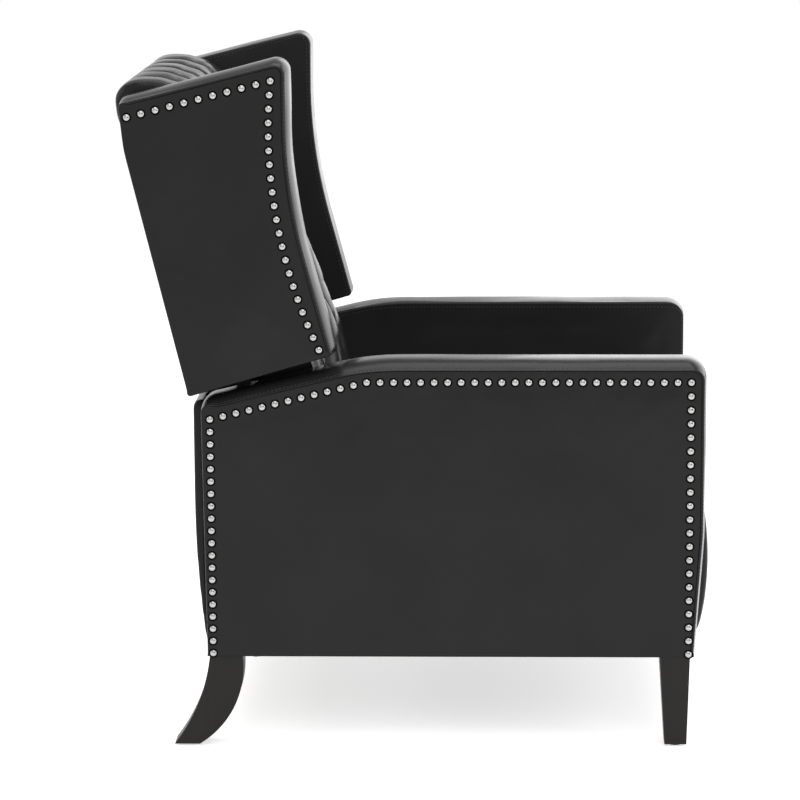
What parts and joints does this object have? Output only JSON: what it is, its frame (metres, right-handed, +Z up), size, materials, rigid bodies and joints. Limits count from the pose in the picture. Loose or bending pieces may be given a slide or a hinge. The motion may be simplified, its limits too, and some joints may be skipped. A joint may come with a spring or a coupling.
{
  "type": "wingback recliner chair",
  "caption": "Push-back wingback recliner: padded arms and wings with domed nail trim, tufted back with a channelled head roll, hidden linkage and folding footrest, on four wooden legs.",
  "frame": {"origin": "on the floor, at the middle of the chair's bounding box", "axes": "+Z up, the front of the chair faces -Y, +X to the sitter's left, symmetric about X = 0"},
  "size_m": [0.69, 0.8754, 1.03],
  "materials": {
    "black_leather": "satin",
    "leg_wood": "satin",
    "frame_wood": "matte",
    "nail_nickel": "polished",
    "mechanism_steel": "satin",
    "zinc_steel": "satin",
    "webbing": "matte",
    "glide_plastic": "matte"
  },
  "bodies": {
    "base": {"arm_frame_left": "frame_wood", "arm_frame_right": "frame_wood", "arm_cover_left": "black_leather", "arm_cover_right": "black_leather", "arm_nails_left": "nail_nickel", "arm_nails_right": "nail_nickel", "front_leg_left": "leg_wood", "front_leg_right": "leg_wood", "rear_leg_left": "leg_wood", "rear_leg_right": "leg_wood", "base_plate_left": "mechanism_steel", "base_plate_right": "mechanism_steel", "front_cross_rail": "frame_wood", "rear_cross_rail": "frame_wood", "rear_panel_board": "frame_wood", "rear_panel_cover": "black_leather", "base_bolts": "zinc_steel", "leg_glides": "glide_plastic", "base_plate_screws": "zinc_steel", "base_pivot_pins": "zinc_steel"},
    "front_swing": {"front_swing_link_left": "mechanism_steel", "front_swing_link_right": "mechanism_steel"},
    "rear_swing": {"rear_swing_link_left": "mechanism_steel", "rear_swing_link_right": "mechanism_steel"},
    "seat": {"seat_plate_left": "mechanism_steel", "seat_plate_right": "mechanism_steel", "seat_frame": "frame_wood", "seat_webbing": "webbing", "seat_cushion": "black_leather", "seat_cross_tube": "mechanism_steel", "seat_pivot_pins": "zinc_steel"},
    "back": {"back_bracket_left": "mechanism_steel", "back_bracket_right": "mechanism_steel", "wing_frame_left": "frame_wood", "wing_frame_right": "frame_wood", "wing_cover_left": "black_leather", "wing_cover_right": "black_leather", "wing_nails_left": "nail_nickel", "wing_nails_right": "nail_nickel", "back_frame": "frame_wood", "back_bolts": "zinc_steel", "back_pad": "black_leather", "tuft_buttons": "black_leather", "head_roll": "black_leather", "outer_back": "black_leather"},
    "drive": {"drive_link_left": "mechanism_steel", "drive_link_right": "mechanism_steel", "drive_link_pins": "zinc_steel", "torque_tube": "mechanism_steel"},
    "idler": {"idler_link_left": "mechanism_steel", "idler_link_right": "mechanism_steel"},
    "carrier": {"carrier_link_left": "mechanism_steel", "carrier_link_right": "mechanism_steel"},
    "stay": {"stay_link_left": "mechanism_steel", "stay_link_right": "mechanism_steel"},
    "footrest": {"footrest_bracket_left": "mechanism_steel", "footrest_bracket_right": "mechanism_steel", "footrest_board": "frame_wood", "footrest_pad": "black_leather", "footrest_pins": "zinc_steel"}
  },
  "joints": [
    {"name": "back_recline", "type": "hinge", "parent": "seat", "child": "back", "pos_m": [0, 0.26, 0.38], "axis": [-1, 0, 0], "range_deg": [0, 36]},
    {"name": "front_swing_pivot", "type": "hinge", "parent": "base", "child": "front_swing", "pos_m": [0, -0.06, 0.372], "axis": [-1, 0, 0], "range_deg": [0, 39.6]},
    {"name": "seat_pivot", "type": "hinge", "parent": "front_swing", "child": "seat", "pos_m": [0, -0.05602, 0.2961], "axis": [-1, 0, 0], "range_deg": [-39.6, 0]},
    {"name": "rear_swing_pivot", "type": "hinge", "parent": "base", "child": "rear_swing", "pos_m": [0, 0.16, 0.372], "axis": [-1, 0, 0], "range_deg": [0, 39.6]},
    {"name": "drive_link_pivot", "type": "hinge", "parent": "seat", "child": "drive", "pos_m": [0, -0.205, 0.362], "axis": [-1, 0, 0], "range_deg": [0, 90]},
    {"name": "idler_link_pivot", "type": "hinge", "parent": "seat", "child": "idler", "pos_m": [0, -0.15737, 0.3345], "axis": [-1, 0, 0], "range_deg": [0, 90]},
    {"name": "carrier_pivot", "type": "hinge", "parent": "drive", "child": "carrier", "pos_m": [0, -0.15028, 0.21165], "axis": [-1, 0, 0], "range_deg": [-90, 0]},
    {"name": "stay_pivot", "type": "hinge", "parent": "drive", "child": "stay", "pos_m": [0, -0.13728, 0.17594], "axis": [-1, 0, 0], "range_deg": [-90, 0]},
    {"name": "footrest_pivot", "type": "hinge", "parent": "carrier", "child": "footrest", "pos_m": [0, -0.365, 0.32], "axis": [-1, 0, 0], "range_deg": [0, 90]}
  ],
  "couplings": [
    {"joint": "front_swing_pivot", "follows": "back_recline", "ratio": 1.1},
    {"joint": "seat_pivot", "follows": "back_recline", "ratio": -1.1},
    {"joint": "rear_swing_pivot", "follows": "back_recline", "ratio": 1.1},
    {"joint": "drive_link_pivot", "follows": "back_recline", "ratio": 2.5},
    {"joint": "idler_link_pivot", "follows": "back_recline", "ratio": 2.5},
    {"joint": "carrier_pivot", "follows": "back_recline", "ratio": -2.5},
    {"joint": "stay_pivot", "follows": "back_recline", "ratio": -2.5},
    {"joint": "footrest_pivot", "follows": "back_recline", "ratio": 2.5}
  ]
}
